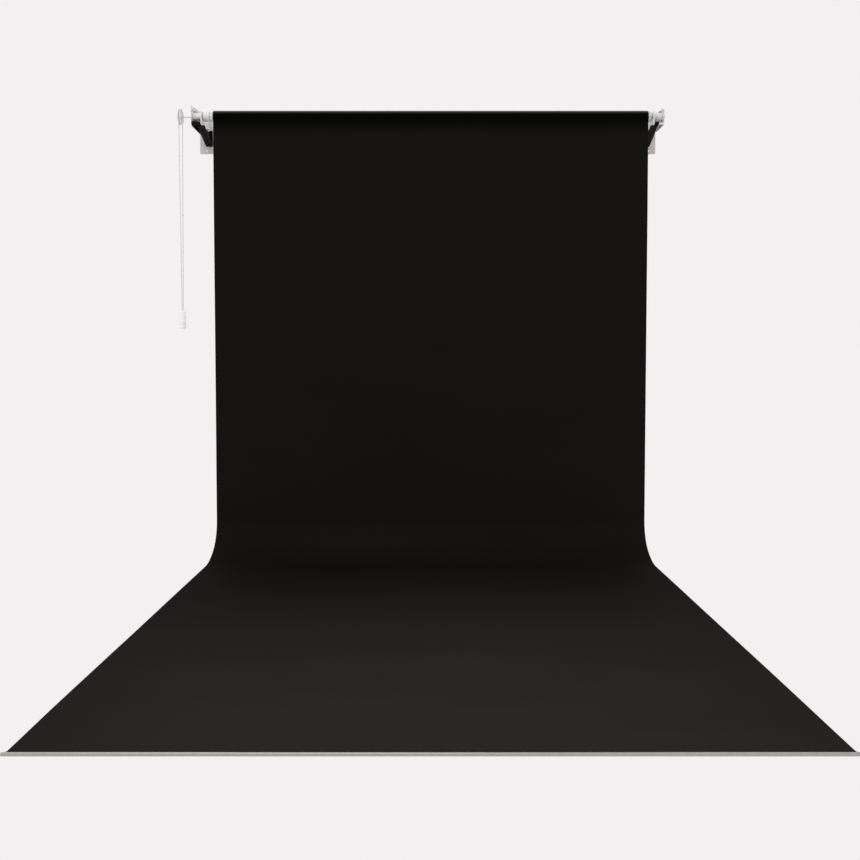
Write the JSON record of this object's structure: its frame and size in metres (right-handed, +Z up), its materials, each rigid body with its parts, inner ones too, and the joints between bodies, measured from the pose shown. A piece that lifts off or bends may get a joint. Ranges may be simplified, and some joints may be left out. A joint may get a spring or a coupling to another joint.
{
  "type": "wall-mounted backdrop paper roll",
  "caption": "Wide black paper backdrop on a chain-driven roll between two wall brackets, drawn down and swept forward over the floor to a bottom rail.",
  "frame": {"origin": "on the wall face, at the centre of the rectangle of the four wall screws", "axes": "+Y into the wall, square to it; +Z up; +X along the roll, away from the chain drive"},
  "size_m": [3.066, 3.2803, 2.848],
  "materials": {
    "backdrop_paper": "matt, dyed black through",
    "kraft_core": "spiral-wound kraft board",
    "anodised_rail": "satin, pale green-grey",
    "rail_plastic": "matt pale grey",
    "clear_spline": "extruded",
    "grey_steel": "powder coat, light grey",
    "black_casting": "powder coat, fine texture",
    "zinc_steel": "zinc plated",
    "dark_steel": "oiled",
    "pale_plastic": "moulded, fine grain",
    "bearing_plastic": "acetal",
    "bronze": "sintered bronze",
    "pale_steel": "powder coat, pale green-grey",
    "pad_rubber": "matt, mid grey",
    "rubber": "matt",
    "wheel_plastic": "satin, mid grey",
    "bead_plastic": "moulded",
    "weight_plastic": "moulded, satin"
  },
  "bodies": {
    "frame": {"paper_sheet": "backdrop_paper", "bottom_rail": "anodised_rail", "rail_spline": "clear_spline", "rail_end_caps": "rail_plastic", "bracket_bolts": "zinc_steel", "bracket_nuts": "zinc_steel", "arm_screws": "zinc_steel", "left_wall_plate": "grey_steel", "left_inner_cheek": "pale_steel", "left_arm": "black_casting", "left_latch_rivets": "zinc_steel", "left_bearing_block": "bearing_plastic", "left_bush": "bronze", "right_wall_plate": "grey_steel", "right_inner_cheek": "pale_steel", "right_arm": "black_casting", "right_latch_rivets": "zinc_steel", "right_bearing_block": "bearing_plastic", "right_bush": "bronze"},
    "roll": {"paper_wound": "backdrop_paper", "core_tube": "kraft_core", "left_spacer": "pale_plastic", "sprocket": "wheel_plastic", "sprocket_washer": "zinc_steel", "sprocket_nut": "zinc_steel", "left_flange": "pale_plastic", "left_end_disc": "zinc_steel", "left_axle_nut": "zinc_steel", "left_axle_collar": "zinc_steel", "left_axle": "zinc_steel", "left_jaw_bands": "rubber", "right_flange": "pale_plastic", "right_end_disc": "zinc_steel", "right_axle_nut": "zinc_steel", "right_axle_collar": "zinc_steel", "right_axle": "dark_steel", "right_jaw_bands": "rubber"},
    "chain": {"pull_chain": "bead_plastic", "pull_chain_on_wheel": "bead_plastic", "chain_joiner": "bead_plastic", "chain_weight": "weight_plastic"},
    "left_latch": {"left_latch": "grey_steel", "left_latch_pad": "pad_rubber"},
    "left_knob": {"left_knob": "pale_plastic"},
    "left_mandrel": {"left_mandrel": "bearing_plastic"},
    "left_jaw_1": {"left_jaw_1": "bearing_plastic"},
    "left_jaw_2": {"left_jaw_2": "bearing_plastic"},
    "left_jaw_3": {"left_jaw_3": "bearing_plastic"},
    "right_latch": {"right_latch": "grey_steel", "right_latch_pad": "pad_rubber"},
    "right_knob": {"right_knob": "pale_plastic"},
    "right_mandrel": {"right_mandrel": "bearing_plastic"},
    "right_jaw_1": {"right_jaw_1": "bearing_plastic"},
    "right_jaw_2": {"right_jaw_2": "bearing_plastic"},
    "right_jaw_3": {"right_jaw_3": "bearing_plastic"}
  },
  "joints": [
    {"name": "roll_spin", "type": "hinge", "parent": "frame", "child": "roll", "pos_m": [0, -0.185, 0.065], "axis": [1, 0, 0], "continuous": true},
    {"name": "chain_swing", "type": "hinge", "parent": "frame", "child": "chain", "pos_m": [-1.553, -0.185, 0.065], "axis": [1, 0, 0], "range_deg": [-25, 5]},
    {"name": "left_latch_hinge", "type": "hinge", "parent": "frame", "child": "left_latch", "pos_m": [-1.4702, -0.121, 0.102], "axis": [-1, 0, 0], "range_deg": [0, 100]},
    {"name": "left_knob_turn", "type": "hinge", "parent": "roll", "child": "left_knob", "pos_m": [-1.38, -0.185, 0.065], "axis": [-1, 0, 0], "range_deg": [0, 720]},
    {"name": "left_mandrel_slide", "type": "slide", "parent": "roll", "child": "left_mandrel", "axis": [1, 0, 0], "range_m": [0, 0.008]},
    {"name": "left_jaw_1_slide", "type": "slide", "parent": "roll", "child": "left_jaw_1", "axis": [0, 0, -1], "range_m": [0, 0.0024]},
    {"name": "left_jaw_2_slide", "type": "slide", "parent": "roll", "child": "left_jaw_2", "axis": [0, 0.866, 0.5], "range_m": [0, 0.0024]},
    {"name": "left_jaw_3_slide", "type": "slide", "parent": "roll", "child": "left_jaw_3", "axis": [0, -0.866, 0.5], "range_m": [0, 0.0024]},
    {"name": "right_latch_hinge", "type": "hinge", "parent": "frame", "child": "right_latch", "pos_m": [1.4702, -0.121, 0.102], "axis": [-1, 0, 0], "range_deg": [0, 100]},
    {"name": "right_knob_turn", "type": "hinge", "parent": "roll", "child": "right_knob", "pos_m": [1.38, -0.185, 0.065], "axis": [1, 0, 0], "range_deg": [0, 720]},
    {"name": "right_mandrel_slide", "type": "slide", "parent": "roll", "child": "right_mandrel", "axis": [-1, 0, 0], "range_m": [0, 0.008]},
    {"name": "right_jaw_1_slide", "type": "slide", "parent": "roll", "child": "right_jaw_1", "axis": [0, 0, -1], "range_m": [0, 0.0024]},
    {"name": "right_jaw_2_slide", "type": "slide", "parent": "roll", "child": "right_jaw_2", "axis": [0, 0.866, 0.5], "range_m": [0, 0.0024]},
    {"name": "right_jaw_3_slide", "type": "slide", "parent": "roll", "child": "right_jaw_3", "axis": [0, -0.866, 0.5], "range_m": [0, 0.0024]}
  ],
  "couplings": [
    {"joint": "left_mandrel_slide", "follows": "left_knob_turn", "m_per_rad": 0.00063662},
    {"joint": "left_jaw_1_slide", "follows": "left_knob_turn", "m_per_rad": 0.00019099},
    {"joint": "left_jaw_2_slide", "follows": "left_knob_turn", "m_per_rad": 0.00019099},
    {"joint": "left_jaw_3_slide", "follows": "left_knob_turn", "m_per_rad": 0.00019099},
    {"joint": "right_mandrel_slide", "follows": "right_knob_turn", "m_per_rad": 0.00063662},
    {"joint": "right_jaw_1_slide", "follows": "right_knob_turn", "m_per_rad": 0.00019099},
    {"joint": "right_jaw_2_slide", "follows": "right_knob_turn", "m_per_rad": 0.00019099},
    {"joint": "right_jaw_3_slide", "follows": "right_knob_turn", "m_per_rad": 0.00019099}
  ]
}
